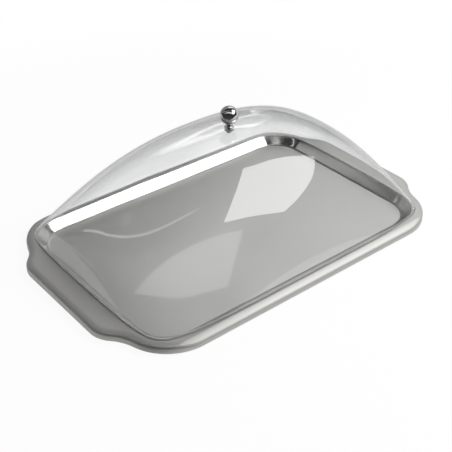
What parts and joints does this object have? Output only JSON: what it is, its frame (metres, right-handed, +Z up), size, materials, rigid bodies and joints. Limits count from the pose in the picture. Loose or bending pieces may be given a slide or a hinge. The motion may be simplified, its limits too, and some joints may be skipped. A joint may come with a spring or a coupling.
{
  "type": "covered serving tray",
  "caption": "Rectangular stainless serving tray with flat end handles and a turned-down edge, under a clear lift-off domed cover with a chrome ball knob.",
  "frame": {"origin": "middle of the flat underside of the tray's floor, where it rests on the table", "axes": "+X along the tray towards one handle, +Y across it towards one long side, +Z up through the knob"},
  "size_m": [0.5488, 0.3498, 0.1892],
  "materials": {
    "tray_steel": "satin floor and handles with a polished wall and edge",
    "clear_plastic": "clear blown acrylic, glossy on both faces",
    "knob_chrome": "turned and bright plated",
    "seal_rubber": "pale translucent silicone, matt",
    "screw_steel": "plain bright stainless fastener"
  },
  "bodies": {
    "tray": {"tray": "tray_steel"},
    "cover": {"dome_cover": "clear_plastic", "ball_knob": "knob_chrome", "outer_seal_washer": "seal_rubber", "inner_seal_washer": "seal_rubber", "screw_washer": "screw_steel", "knob_screw": "screw_steel"}
  },
  "joints": [
    {"name": "cover_lift", "type": "slide", "parent": "tray", "child": "cover", "axis": [0, 0, 1], "range_m": [0, 0.2]}
  ]
}
